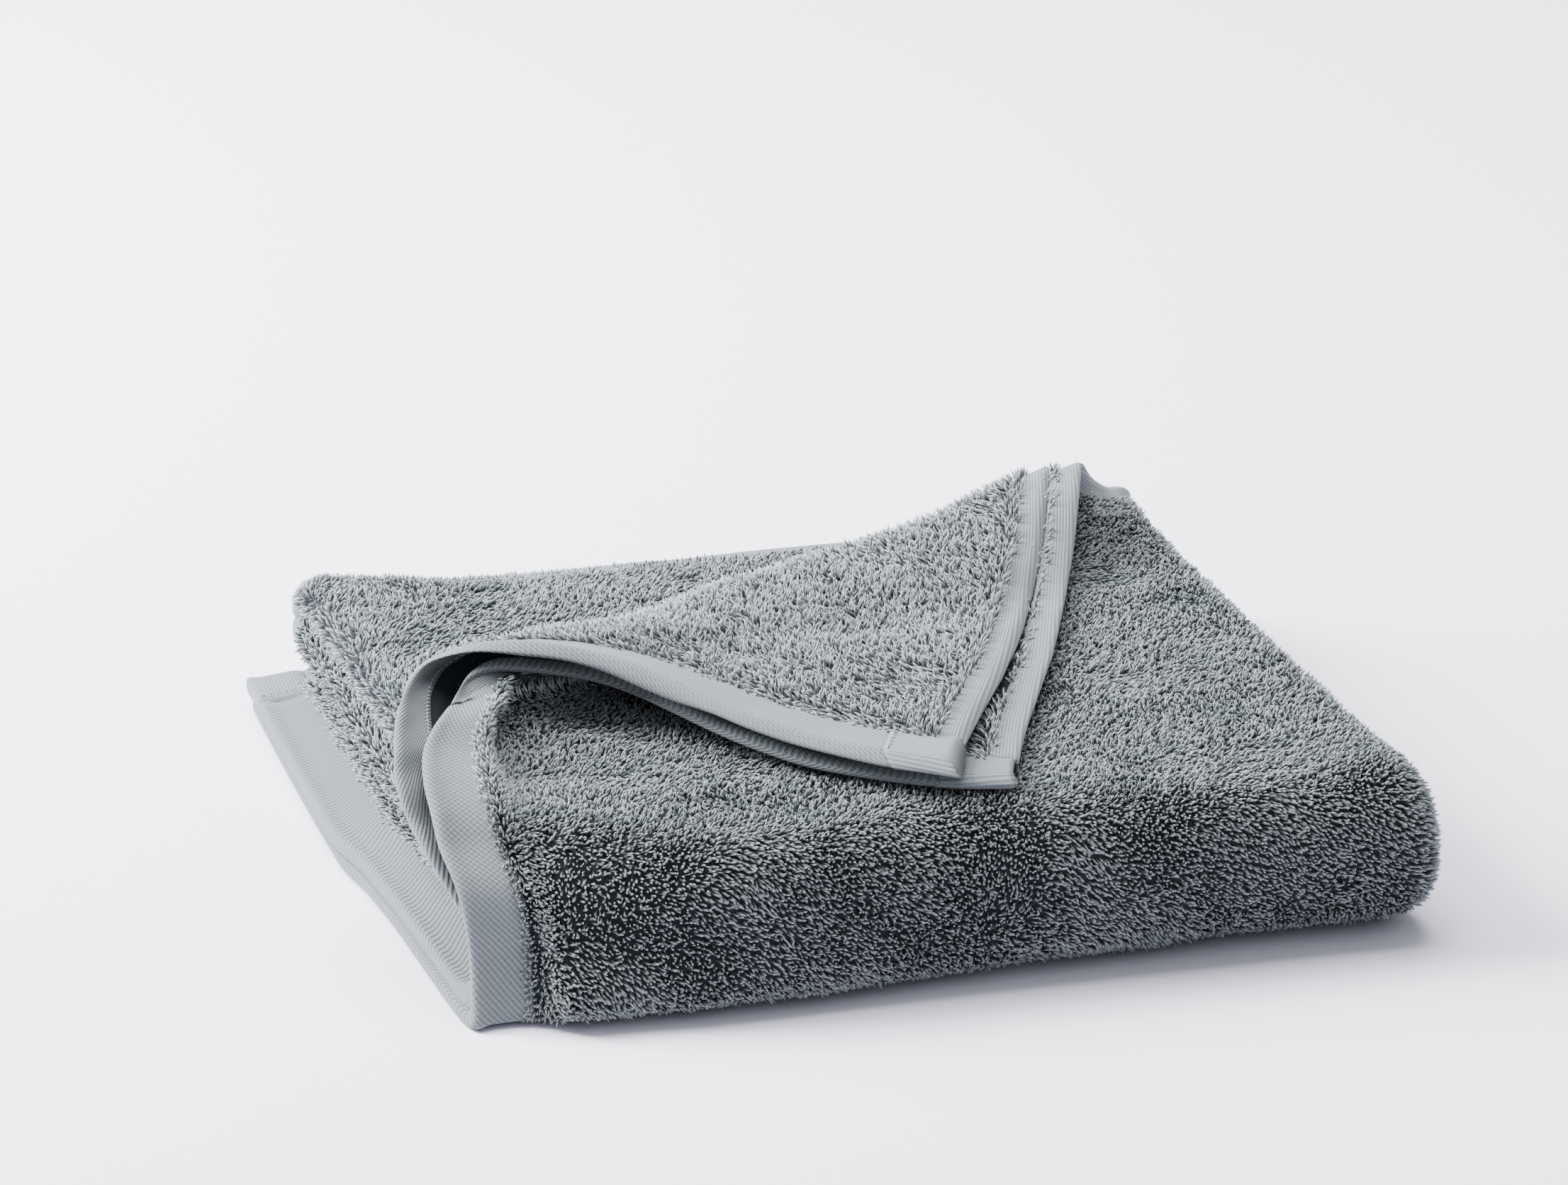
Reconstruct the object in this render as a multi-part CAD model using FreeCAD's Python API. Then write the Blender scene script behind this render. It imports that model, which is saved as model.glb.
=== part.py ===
import FreeCAD, Part
import math
import os

# A bath towel, folded in half along its length, in half again, then in half across its width,
# with the back left corner of its two top layers turned over towards the front right.
# Millimetres. X runs along the front fold, Y to the back, Z up, and the origin is under the
# middle of the folded block. While it is built, the left edge of the hems is x = 0 and the front
# of the fold is y = 0, and a layer's depth is its distance from the outside of its own half.

# ---- the flat towel ----
TOWEL_LENGTH = 1473.0          # short end to short end
TOWEL_WIDTH = 762.0            # side hem to side hem
LAYER_PITCH = 8.0              # one folded layer to the next, pile pressed as in a stack
LAYER_GAP = 0.4                # air between two folded layers
GROUND_THICKNESS = 1.6         # woven base between the two piles
END_HEM_WIDTH = 24.0           # wide twill hem on each short end
END_HEM_THICKNESS = 5.0
SIDE_HEM_WIDTH = 12.0          # narrow plain hem on each long side
SIDE_HEM_THICKNESS = 3.2
CORNER_LENGTH = 28.0           # stretch of an end hem that the turned side hem covers
CORNER_THICKNESS = 5.6
STITCH_WIDTH = 0.8             # one row of thread along the inner edge of a hem

# ---- how it is folded ----
HEM_OVERHANG = 25.0            # the end hems stand out this far past the inner folds
RIDGE_START = 123.0            # turned corner: where its fold leaves the left edge
RIDGE_END_INSET = 7.0          # and how far short of the right-hand folds it ends
RIDGE_RADIUS = 6.0             # open space inside the rolled fold
TIP_GAP = 0.8                  # air under the tip of the turned corner

# ---- worked out from the sizes above ----
HALF_STACK = 4 * LAYER_PITCH
STACK_HEIGHT = 2 * HALF_STACK
INNER_FOLD_X = HEM_OVERHANG + LAYER_PITCH
FOLD_ARCS = 2.5 * math.pi * LAYER_PITCH
RIGHT_FOLD_X = (TOWEL_LENGTH - FOLD_ARCS + 2 * INNER_FOLD_X) / 4
BLOCK_LENGTH = RIGHT_FOLD_X + 2 * LAYER_PITCH
BLOCK_DEPTH = HALF_STACK + TOWEL_WIDTH / 2
PILE_REACH = (LAYER_PITCH - LAYER_GAP) / 2
GROUND_REACH = GROUND_THICKNESS / 2
UPPER_TURNED_DEPTH = 0.5 * LAYER_PITCH
LOWER_TURNED_DEPTH = 1.5 * LAYER_PITCH
TURNED_LAYERS_Z = STACK_HEIGHT - 2 * LAYER_PITCH
RIDGE_AXIS_Z = STACK_HEIGHT + RIDGE_RADIUS
MARGIN = 60.0
FACE_TOLERANCE = 1e-4

Z_AXIS = FreeCAD.Vector(0, 0, 1)
X_AXIS = FreeCAD.Vector(1, 0, 0)


def back_edge(depth):
    """Y of the towel's side edge at a depth: deeper layers spend less cloth in the front fold."""
    return HALF_STACK + (TOWEL_WIDTH - math.pi * (HALF_STACK - depth)) / 2


RIDGE_ANGLE = math.atan2(
    back_edge(LOWER_TURNED_DEPTH) - RIDGE_START, RIGHT_FOLD_X - RIDGE_END_INSET)
RIDGE_POINT = FreeCAD.Vector(0, RIDGE_START, RIDGE_AXIS_Z)
RIDGE_LINE = FreeCAD.Vector(math.cos(RIDGE_ANGLE), math.sin(RIDGE_ANGLE), 0)
RIDGE_NORMAL = FreeCAD.Vector(math.sin(RIDGE_ANGLE), -math.cos(RIDGE_ANGLE), 0)
TIP_REACH = (back_edge(UPPER_TURNED_DEPTH) - RIDGE_START) * math.cos(RIDGE_ANGLE)
SETTLE_ANGLE = math.degrees(math.asin((2 * RIDGE_RADIUS - TIP_GAP) / TIP_REACH))
TURN = 180 + SETTLE_ANGLE


def arc(centre_x, centre_z, radius, start, middle, end):
    """Arc in the section plane through three angles, in degrees."""
    points = []
    for angle in (start, middle, end):
        turn = math.radians(angle)
        points.append(FreeCAD.Vector(
            centre_x + radius * math.cos(turn), 0, centre_z + radius * math.sin(turn)))
    return Part.Arc(*points).toShape()


def folded_path(offset, start_x):
    """The towel's line from end hem to end hem through its four layers.

    offset moves it towards the face pile, and start_x is how far it stays from both ends.
    """
    t = LAYER_PITCH
    first, second = 0.5 * t - offset, 1.5 * t + offset
    third, fourth = 2.5 * t - offset, 3.5 * t + offset

    def run(x0, x1, z):
        return Part.LineSegment(FreeCAD.Vector(x0, 0, z), FreeCAD.Vector(x1, 0, z)).toShape()

    return [
        run(start_x, RIGHT_FOLD_X, first),
        arc(RIGHT_FOLD_X, 2 * t, 1.5 * t + offset, -90, 0, 90),
        run(RIGHT_FOLD_X, INNER_FOLD_X, fourth),
        arc(INNER_FOLD_X, 3 * t, 0.5 * t + offset, 90, 180, 270),
        run(INNER_FOLD_X, RIGHT_FOLD_X, third),
        arc(RIGHT_FOLD_X, 2 * t, 0.5 * t - offset, 90, 0, -90),
        run(RIGHT_FOLD_X, start_x, second),
    ]


def strip(low, high, start_x):
    """Section of one skin of the folded towel, between two offsets from its middle."""
    lower = folded_path(low, start_x)
    upper = folded_path(high, start_x)
    ends = []
    for a, b in ((lower[0].Vertexes[0], upper[0].Vertexes[0]),
                 (lower[-1].Vertexes[-1], upper[-1].Vertexes[-1])):
        ends.append(Part.LineSegment(a.Point, b.Point).toShape())
    return Part.Face(Part.Wire(Part.__sortEdges__(lower + upper + ends)))


def hem_section(x0, x1, depth, thickness, rounded=False):
    """Section of an end hem: a flat band, its outer edge rounded where the cloth rolls over."""
    half = thickness / 2
    if not rounded:
        corners = [(x0, -half), (x1, -half), (x1, half), (x0, half), (x0, -half)]
        return Part.Face(Part.makePolygon(
            [FreeCAD.Vector(x, 0, depth + z) for x, z in corners]))
    low = FreeCAD.Vector(x0 + half, 0, depth - half)
    high = FreeCAD.Vector(x0 + half, 0, depth + half)
    far_low = FreeCAD.Vector(x1, 0, depth - half)
    far_high = FreeCAD.Vector(x1, 0, depth + half)
    edges = [
        Part.LineSegment(low, far_low).toShape(),
        Part.LineSegment(far_low, far_high).toShape(),
        Part.LineSegment(far_high, high).toShape(),
        Part.Arc(high, FreeCAD.Vector(x0, 0, depth), low).toShape(),
    ]
    return Part.Face(Part.Wire(edges))


def behind(inset):
    """Solid that covers everything behind the side edge, less an inset, in the lower half."""
    points = [
        FreeCAD.Vector(-MARGIN, back_edge(-MARGIN) - inset, -MARGIN),
        FreeCAD.Vector(-MARGIN, back_edge(HALF_STACK) - inset, HALF_STACK),
        FreeCAD.Vector(-MARGIN, 2 * BLOCK_DEPTH, HALF_STACK),
        FreeCAD.Vector(-MARGIN, 2 * BLOCK_DEPTH, -MARGIN),
    ]
    face = Part.Face(Part.makePolygon(points + points[:1]))
    return face.extrude(X_AXIS * (BLOCK_LENGTH + 2 * MARGIN))


def lower_run(section, from_inset, to_inset=None):
    """Lower half of a strip: from the front fold, or from to_inset, to from_inset off the edge."""
    whole = section.copy()
    whole.translate(FreeCAD.Vector(0, HALF_STACK, 0))
    whole = whole.extrude(FreeCAD.Vector(0, BLOCK_DEPTH, 0))
    whole = whole.cut(behind(from_inset))
    if to_inset is not None:
        whole = whole.common(behind(to_inset))
    return whole


def mirrored(shape):
    """The upper half of the stack is the lower half's mirror image."""
    return shape.mirror(FreeCAD.Vector(0, 0, HALF_STACK), Z_AXIS)


def front_fold(section):
    """The half turn round the front of the block."""
    start = section.copy()
    start.translate(FreeCAD.Vector(0, HALF_STACK, 0))
    return start.revolve(FreeCAD.Vector(0, HALF_STACK, HALF_STACK), X_AXIS, -180)


def corner_zone():
    """Space over the lower layers, behind the vertical plane through the ridge."""
    reach = 2 * (BLOCK_LENGTH + BLOCK_DEPTH)
    start = RIDGE_POINT - RIDGE_LINE * reach
    points = []
    for place in (start, start + RIDGE_LINE * (2 * reach),
                  start + RIDGE_LINE * (2 * reach) - RIDGE_NORMAL * reach,
                  start - RIDGE_NORMAL * reach):
        points.append(FreeCAD.Vector(place.x, place.y, TURNED_LAYERS_Z))
    return Part.Face(Part.makePolygon(points + points[:1])).extrude(Z_AXIS * (4 * HALF_STACK))


def joined(shapes):
    """One shape from pieces that meet face to face."""
    pieces = [piece for shape in shapes for piece in shape.Solids]
    if len(pieces) == 1:
        return pieces[0]
    return pieces[0].multiFuse(pieces[1:]).removeSplitter()


def turned_over(shape):
    """The shape with what lies behind the ridge rolled over it and laid towards the front."""
    corner = shape.common(corner_zone())
    if not corner.Solids:
        return shape
    rest = shape.cut(corner_zone())
    pieces = [rest] if rest.Solids else []
    for face in corner.Faces:
        distances = [abs((v.Point - RIDGE_POINT).dot(RIDGE_NORMAL)) for v in face.Vertexes]
        if max(distances) < FACE_TOLERANCE:
            pieces.append(face.revolve(RIDGE_POINT, RIDGE_LINE, TURN))
    corner.rotate(RIDGE_POINT, RIDGE_LINE, TURN)
    return joined(pieces + [corner])


def full_wrap(section, inset):
    """A strip that runs from side edge to side edge, round the front, with its corner turned."""
    lower = lower_run(section, inset)
    return joined([lower, front_fold(section), turned_over(mirrored(lower))])


def make_skins():
    """The woven base and the two piles that stand on it, up to the stitching of the hems."""
    skins = {
        "ground_cloth": (-GROUND_REACH, GROUND_REACH),
        "face_pile": (GROUND_REACH, PILE_REACH),
        "back_pile": (-PILE_REACH, -GROUND_REACH),
    }
    return {name: full_wrap(strip(low, high, END_HEM_WIDTH), SIDE_HEM_WIDTH)
            for name, (low, high) in skins.items()}


def make_end_hem(which, depth):
    """One end hem, the thread along its inner edge, and the two corners that close it."""
    inner_x = END_HEM_WIDTH - STITCH_WIDTH
    band = hem_section(0, inner_x, depth, END_HEM_THICKNESS, rounded=True)
    seam = hem_section(inner_x, END_HEM_WIDTH, depth, END_HEM_THICKNESS)
    doubled = hem_section(0, inner_x, depth, CORNER_THICKNESS, rounded=True)
    corner = lower_run(doubled, 0, CORNER_LENGTH)
    return {
        "end_hem_" + which: full_wrap(band, CORNER_LENGTH),
        "end_hem_" + which + "_stitching": full_wrap(seam, SIDE_HEM_WIDTH),
        "hem_corner_" + which + "_turned": turned_over(mirrored(corner)),
        "hem_corner_" + which + "_under": corner,
    }


def make_side_hems():
    """The two side hems, which follow every layer along the back, and their thread."""
    half = SIDE_HEM_THICKNESS / 2
    section = strip(-half, half, END_HEM_WIDTH)
    hem = lower_run(section, 0, SIDE_HEM_WIDTH - STITCH_WIDTH)
    seam = lower_run(section, SIDE_HEM_WIDTH - STITCH_WIDTH, SIDE_HEM_WIDTH)
    return {
        "side_hem_top": turned_over(mirrored(hem)),
        "side_hem_top_stitching": turned_over(mirrored(seam)),
        "side_hem_under": hem,
        "side_hem_under_stitching": seam,
    }


def main():
    """Build every sub-part, stand the towel over the origin and write one file for each."""
    parts = {
        **make_skins(),
        **make_end_hem("outer", UPPER_TURNED_DEPTH),
        **make_end_hem("inner", LOWER_TURNED_DEPTH),
        **make_side_hems(),
    }
    box = FreeCAD.BoundBox()
    for shape in parts.values():
        box.add(shape.optimalBoundingBox())
    os.makedirs("parts", exist_ok=True)
    for name, shape in parts.items():
        shape.translate(FreeCAD.Vector(-box.Center.x, -box.Center.y, -box.ZMin))
        shape.exportStep("parts/" + name + ".step")
        print(name, "solids", len(shape.Solids), "volume", round(shape.Volume), shape.isValid())
    print("overall", round(box.XLength, 1), round(box.YLength, 1), round(box.ZLength, 1))


main()
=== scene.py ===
# %% [markdown]
# # A plush bath towel, folded and laid down
#
# A towel is one flat rectangle of cloth. Its whole shape, folded, comes from a rule that says where
# each point of the flat rectangle goes. So the lesson first writes that rule as a few short
# functions of arrays, and then everything that is part of the cloth (the woven base, the hems, the
# sewing thread and every tuft of pile) is placed by calling it. A tuft always stands on the cloth
# that it grows from, and a hem always follows its fold.

# %% Load the frame
import math
import bpy
import numpy as np
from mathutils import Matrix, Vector


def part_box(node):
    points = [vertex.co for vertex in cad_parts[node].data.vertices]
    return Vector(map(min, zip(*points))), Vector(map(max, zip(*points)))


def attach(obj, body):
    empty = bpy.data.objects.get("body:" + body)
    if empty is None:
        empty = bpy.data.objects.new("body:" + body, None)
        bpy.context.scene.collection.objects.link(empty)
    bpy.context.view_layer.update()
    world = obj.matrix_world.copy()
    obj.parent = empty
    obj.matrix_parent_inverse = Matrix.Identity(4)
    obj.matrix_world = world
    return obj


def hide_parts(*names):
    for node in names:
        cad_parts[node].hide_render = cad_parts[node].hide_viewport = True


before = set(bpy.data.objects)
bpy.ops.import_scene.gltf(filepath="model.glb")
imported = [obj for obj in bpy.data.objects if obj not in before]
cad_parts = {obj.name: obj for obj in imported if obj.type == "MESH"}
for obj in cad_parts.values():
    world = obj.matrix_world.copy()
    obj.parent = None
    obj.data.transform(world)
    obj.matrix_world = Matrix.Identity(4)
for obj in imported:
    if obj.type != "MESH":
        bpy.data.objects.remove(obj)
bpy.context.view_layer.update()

# %% [markdown]
# ## Sizes
#
# The sizes are the real towel's, in millimetres: 30 by 58 inches, eight layers of about 8 mm once
# the pile is pressed. The frame says where the folded block stands: the left edge of the lower
# inner hem is x = 0 of the rule, and the front of the fold is y = 0.

# %% Sizes of the towel and of its folds
MM = 0.001
LENGTH, WIDTH = 1473.0, 762.0
PITCH = 8.0  # one pressed layer
GAP = 0.2  # half of the air between two layers
GROUND = 0.8  # half the thickness of the woven base
END_HEM, SIDE_HEM, CORNER = 24.0, 12.0, 28.0
OVERHANG = 25.0  # how far the end hems stand out past the folds of the inner layers
HALF = 4 * PITCH
INNER_X = OVERHANG + PITCH
RIGHT_X = (LENGTH - 2.5 * math.pi * PITCH + 2 * INNER_X) / 4
ORIGIN = np.array([
    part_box("hem_corner_inner_under")[0][0] / MM,
    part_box("face_pile")[0][1] / MM - GAP,
    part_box("face_pile")[0][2] / MM - GAP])
print("fold centre", round(RIGHT_X, 1), "origin", ORIGIN.round(1))

# %% [markdown]
# ## First rule: four layers along the length
#
# Walking along the towel from its outer end hem, the cloth runs right, turns through a wide half
# circle, comes back, turns through a tight one, goes right again, turns, and comes home. Each
# stretch is a line or an arc, so the rule is a list of cases. `n` is the distance from the middle of
# the cloth towards its face side, which is how pile and hems get their thickness.

# %% Lengthwise fold
RUNS = np.cumsum([
    RIGHT_X, 1.5 * math.pi * PITCH, RIGHT_X - INNER_X, 0.5 * math.pi * PITCH,
    RIGHT_X - INNER_X, 0.5 * math.pi * PITCH, RIGHT_X])


def fold_length(v, n):
    """Place along X, and depth in the half stack, of a point at length v and normal distance n.

    Lines keep their length; on an arc of radius r the angle is the length walked over r, and n
    adds to the radius where the face side is outside and takes from it where it is inside.
    """
    a, b, c, d, e, f, _ = RUNS
    t = PITCH
    wide, tight, inner = (v - a) / (1.5 * t), (v - c) / (0.5 * t), (v - e) / (0.5 * t)
    cases = [v < a, v < b, v < c, v < d, v < e, v < f]
    x = np.select(cases, [
        v, RIGHT_X + (1.5 * t + n) * np.sin(wide), RIGHT_X - (v - b),
        INNER_X - (0.5 * t + n) * np.sin(tight), INNER_X + (v - d),
        RIGHT_X + (0.5 * t - n) * np.sin(inner)], RIGHT_X - (v - f))
    depth = np.select(cases, [
        0.5 * t - n, 2 * t - (1.5 * t + n) * np.cos(wide), 3.5 * t + n,
        3 * t + (0.5 * t + n) * np.cos(tight), 2.5 * t - n,
        2 * t + (0.5 * t - n) * np.cos(inner)], 1.5 * t + n)
    return x, depth


print("lines and arcs end at the lengths", RUNS.round(1))

# %% [markdown]
# ## Second rule: once more across the width
#
# The four layers are folded in two round the front. A layer at some depth goes round a half circle
# whose radius is what is left of the half stack, so the outer layers use more cloth in the turn and
# their side edges end further forward. That is why the back of a folded towel is stepped.

# %% Widthwise fold


def smooth(x):
    """Smooth step: 0 below 0, 1 above 1, and 3x² - 2x³ between."""
    x = np.clip(x, 0.0, 1.0)
    return x * x * (3 - 2 * x)


def straight_length(depth):
    """Cloth on each side of the front turn: half of what the half circle leaves."""
    return (WIDTH - math.pi * (HALF - depth)) / 2


def fold_width(u, depth):
    """Y, Z and the part of the front turn gone through, from 0 below it to 1 above it.

    The angle turned through is the length walked into the turn over its radius, and Y and Z
    follow from its sine and cosine.
    """
    radius = HALF - depth
    flat = straight_length(depth)
    turn = np.clip((u - flat) / np.maximum(radius, 1e-6), 0, math.pi)
    y = HALF + np.maximum(flat - u, 0) + np.maximum(u - flat - math.pi * radius, 0)
    y = y - radius * np.sin(turn)
    return y, HALF - radius * np.cos(turn), turn / math.pi


print("straight cloth of the outermost and the innermost layer",
      round(straight_length(0.5 * PITCH), 1), round(straight_length(3.5 * PITCH), 1))

# %% [markdown]
# ## Third rule: the turned corner
#
# The back left corner of the two top layers is lifted and turned over towards the front. Seen from
# the end of the roll, the cloth is a curve that runs flat, lifts a little, curls round by half a
# turn, comes down and lies flat again. A curve like that is easiest to state by its heading: the
# heading is a sum of smooth steps, and the curve is the heading's cosine and sine added up. The
# lift and the size of the curl change along the ridge: a tall open wave at the left hem, a low
# roll in the middle, an open loop at the back.

# %% Heading of the roll's curve
RIDGE_START, RIDGE_ANGLE = 121.0, math.radians(35.3)
ALONG = np.array([math.cos(RIDGE_ANGLE), math.sin(RIDGE_ANGLE)])
BACKWARD = np.array([-math.sin(RIDGE_ANGLE), math.cos(RIDGE_ANGLE)])


def roll_shape(s):
    """Lift angle, curl radius and landing angle at the distance s along the ridge."""
    left = 1 - smooth((s - 20) / 140)
    back = smooth((s - 290) / 110)
    lift = math.radians(2) + math.radians(2) * left + math.radians(5) * back
    radius = 6.4 + 3.2 * left + 1.8 * back
    landing = math.radians(23) - math.radians(10) * left - math.radians(9) * back
    return lift, radius, landing


def heading(q, s):
    """Heading of the curve: a rise, a half turn centred on the ridge, a level, a dip, a level."""
    lift, radius, landing = roll_shape(s)
    curl = math.pi * radius
    rise = lift * smooth((q + 100) / 70)
    turn = (math.pi - lift) * smooth((q + 0.8 * curl) / (1.6 * curl))
    dip = smooth((q - curl) / 30) - smooth((q - curl - 40) / 35)
    return rise + turn + landing * dip


print("curl radius at the left, the middle and the back",
      [round(float(roll_shape(s)[1]), 1) for s in (0, 220, 420)])

# %% [markdown]
# ## The roll as a table
#
# The heading has no neat integral, so the curve is added up once, in small steps, and kept as a
# table: a row for each place along the ridge and a column for each place across it. Where the cloth
# has come down it lies one layer above the top of the block, so the fall is scaled to end there.

# %% Table of the roll
ROLL_S = np.linspace(-60, 520, 117)
ROLL_Q = np.linspace(-130, 320, 451)


def roll_table():
    """Place across the ridge and height of the roll's curve, for every s and q of the table."""
    s, q = np.meshgrid(ROLL_S, ROLL_Q, indexing="ij")
    angle = heading(q, s)
    step = ROLL_Q[1] - ROLL_Q[0]
    middle = (angle[:, 1:] + angle[:, :-1]) / 2
    across = np.concatenate([q[:, :1], q[:, :1] + np.cumsum(np.cos(middle) * step, 1)], 1)
    height = np.concatenate([0 * q[:, :1], np.cumsum(np.sin(middle) * step, 1)], 1)
    top = height.max(1, keepdims=True)
    after = np.arange(len(ROLL_Q))[None, :] > height.argmax(1)[:, None]
    low = height[:, -1:]
    landed = PITCH + (height - low) * (top - PITCH) / (top - low)
    return across, np.where(after, landed, height)


ROLL_ACROSS, ROLL_HEIGHT = roll_table()
print("roll height", ROLL_HEIGHT.max(1)[::20].round(1))

# %% [markdown]
# ## Onto the roll
#
# Two layers go over the roll: the lower one inside it, and the upper one outside, with further to
# go. A point of any layer keeps its distance from the middle curve, so it only has to find its own
# place along that curve.

# %% Points of the turned layers


def looked_up(table, s, q):
    """Value of a table at s and q, blended between its four nearest entries."""
    i = np.clip((s - ROLL_S[0]) / (ROLL_S[1] - ROLL_S[0]), 0, len(ROLL_S) - 1.001)
    j = np.clip((q - ROLL_Q[0]) / (ROLL_Q[1] - ROLL_Q[0]), 0, len(ROLL_Q) - 1.001)
    i0, j0 = i.astype(int), j.astype(int)
    a, b = i - i0, j - j0
    near = table[i0, j0] * (1 - b) + table[i0, j0 + 1] * b
    far = table[i0 + 1, j0] * (1 - b) + table[i0 + 1, j0 + 1] * b
    return near * (1 - a) + far * a


def rolled(x, y, below):
    """X, Y and the height to add for a point of the turned layers, which lies below the top layer.

    The layer outside the roll goes further round, so its own place on the curve is the one where
    the curve's length plus the extra way round adds up; halving an interval finds it.
    """
    s = x * ALONG[0] + (y - RIDGE_START) * ALONG[1]
    q = x * BACKWARD[0] + (y - RIDGE_START) * BACKWARD[1]
    low, high = np.full_like(q, ROLL_Q[0]), q.copy()
    for _ in range(24):
        guess = (low + high) / 2
        short = guess + below * heading(guess, s) < q
        low, high = np.where(short, guess, low), np.where(short, high, guess)
    angle = heading(high, s)
    h = looked_up(ROLL_ACROSS, s, high) + below * np.sin(angle)
    z = looked_up(ROLL_HEIGHT, s, high) - below * (np.cos(angle) - 1)
    new_x = s * ALONG[0] + h * BACKWARD[0]
    new_y = RIDGE_START + s * ALONG[1] + h * BACKWARD[1]
    turned = q > ROLL_Q[0] + 1
    return np.where(turned, new_x, x), np.where(turned, new_y, y), np.where(turned, z, 0), angle


print("the back left corner lands at",
      [round(float(k[0]), 1) for k in rolled(np.zeros(1), np.full(1, 380.0), np.zeros(1))[:2]])

# %% [markdown]
# ## Unevenness
#
# Pressed pile has soft dents, and its nap wanders. Both come from one kind of smooth random field,
# with fixed seeds, so that every run gives the same towel.

# %% Random field


def noise(a, b, size, seed):
    """Smooth random field from -1 to 1: random numbers on a square lattice, blended between."""
    rng = np.random.default_rng(seed)
    table = rng.uniform(-1, 1, (256, 256))
    i, j = np.floor(a / size), np.floor(b / size)
    p, q = smooth(a / size - i), smooth(b / size - j)
    i, j = i.astype(int) % 256, j.astype(int) % 256
    i1, j1 = (i + 1) % 256, (j + 1) % 256
    return ((table[i, j] * (1 - p) + table[i1, j] * p) * (1 - q)
            + (table[i, j1] * (1 - p) + table[i1, j1] * p) * q)


print("the field at three places", noise(np.array([0.0, 20.0, 40.0]), np.zeros(3), 46, 3).round(2))

# %% [markdown]
# ## Lines of the two end hems
#
# A stiff hem doesn't follow the soft fold beside it, and the turned corner pulls both end hems back
# and up into a wave. The line that each hem follows is listed, and a smooth curve is drawn through
# the list. A row is a place along the hem; X, Y and Z of the hem's outer edge there; and twice the
# sinking of its inner edge.

# %% Listed lines
OUTER_LINE = np.array([
    [220, 2, 149, 3, 0], [250, 4, 119, 3, 0], [280, 5, 88, 3, 0], [305, 6, 62, 2.7, 0],
    [325, 7, 38, 2.5, 0], [337, 8.3, 22, 2.5, 0], [345, 10, 15, 3.5, 0], [357, 11.5, 19, 12, 0],
    [370, 12.5, 25, 24, 0], [382, 12, 29, 35, 0], [396, 11, 38, 46, 0], [416, 9, 56, 56, 0],
    [431, 9, 69, 64, 0], [450, 10, 86, 70, 0], [470, 14, 105, 75, 0], [485, 21, 119, 79, 0],
    [499, 29, 130, 81, 1], [513, 36, 142, 84, 2], [525, 43, 152, 86, 3], [538, 55, 158, 86.5, 4],
    [567, 83, 159, 82, 4], [586, 100, 151, 78, 4], [617, 119, 127, 74, 3], [650, 137, 99, 70, 2],
    [683, 157, 73, 68, 1], [712, 179, 54, 67, 0], [739, 202, 39, 67, 0], [762, 225, 33, 67, 0]])
INNER_LINE = np.array([
    [220, 3, 158, 7, 0], [250, 5.5, 125, 6.8, 0], [280, 7.5, 87, 6.5, 0], [305, 9, 52, 6, 0],
    [325, 10.5, 29, 6, 0], [337, 13, 24, 9, 0], [348, 16, 27, 15, 0], [366, 19, 36, 21, 0],
    [381, 16, 43, 30, 0], [394, 11, 54, 40, 0], [409, 6, 66, 50, 0], [424, 3, 78, 57, 0],
    [436, 1, 86, 64, 0], [447, 1, 96, 69, 0], [458, 3, 105, 74, 1], [477, 7, 122, 79, 2],
    [496, 13, 138, 84, 4], [513, 20, 152, 88, 6], [526, 29, 160, 91, 7], [549, 50, 161, 94, 8],
    [577, 76, 155, 92.5, 8], [595, 92, 149, 89, 7], [615, 105, 135, 86, 6], [637, 117, 119, 83, 5],
    [669, 135, 94, 79, 3], [702, 157, 71, 76, 1], [733, 178, 50, 75, 0], [762, 200, 34, 75, 0]])


def eased(x, table, column):
    """Value of a column of the table at x: a smooth curve through its rows (Catmull and Rom's).

    Between two rows it is the cubic that has their values, with the slope at each row taken from
    the row before it to the row after it.
    """
    rows = np.concatenate([2 * table[:1] - table[1:2], table, 2 * table[-1:] - table[-2:-1]])
    k = np.clip(np.searchsorted(table[:, 0], x, side="right") - 1, 0, len(table) - 2)
    a, b, c, d = (rows[k + m, column] for m in range(4))
    ta, tb, tc, td = (rows[k + m, 0] for m in range(4))
    f = np.clip((x - tb) / (tc - tb), 0, 1)
    slope_b, slope_c = (c - a) / (tc - ta) * (tc - tb), (d - b) / (td - tb) * (tc - tb)
    return ((2 * f ** 3 - 3 * f ** 2 + 1) * b + (f ** 3 - 2 * f ** 2 + f) * slope_b
            + (3 * f ** 2 - 2 * f ** 3) * c + (f ** 3 - f ** 2) * slope_c)


print("highest point of the listed lines", OUTER_LINE[:, 3].max(), INNER_LINE[:, 3].max())

# %% [markdown]
# ## Weight and slack
#
# Real cloth isn't drawn with a compass. The inner folds puff up at the back left, where nothing
# presses on them, and their free back edge drops a little. The lower hems stand out past the inner
# folds, so they sink to the floor. The front turn leans back at its left end, and its foot slumps
# forward. Each of these is one size times the smooth steps that say where it acts.

# %% The folds with their slack
PUFF, EDGE_PUFF = 0.75, 0.4  # share of their height that free inner folds gain, and more at an edge
EDGE_OUT = 4.0  # how far that edge comes out to the left
BACK_DROP = 11.0  # fall of the free back edge
HEM_SINK = (5.0, 1.0)  # sinking of the inner and of the outer lower hem
HEM_BOW = 2.5  # bow of the lower hems to the left
SLUMP = 24.0  # how far the foot of the front turn comes forward
SLACK = 6.0  # spare cloth of the inner turned layer at the front
# a height, and how far the front turn leans back there
LEAN = np.array([[0, 0], [12, 7], [24, 16], [36, 24], [46, 32], [55, 42], [64, 50], [70, 50]])


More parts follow.
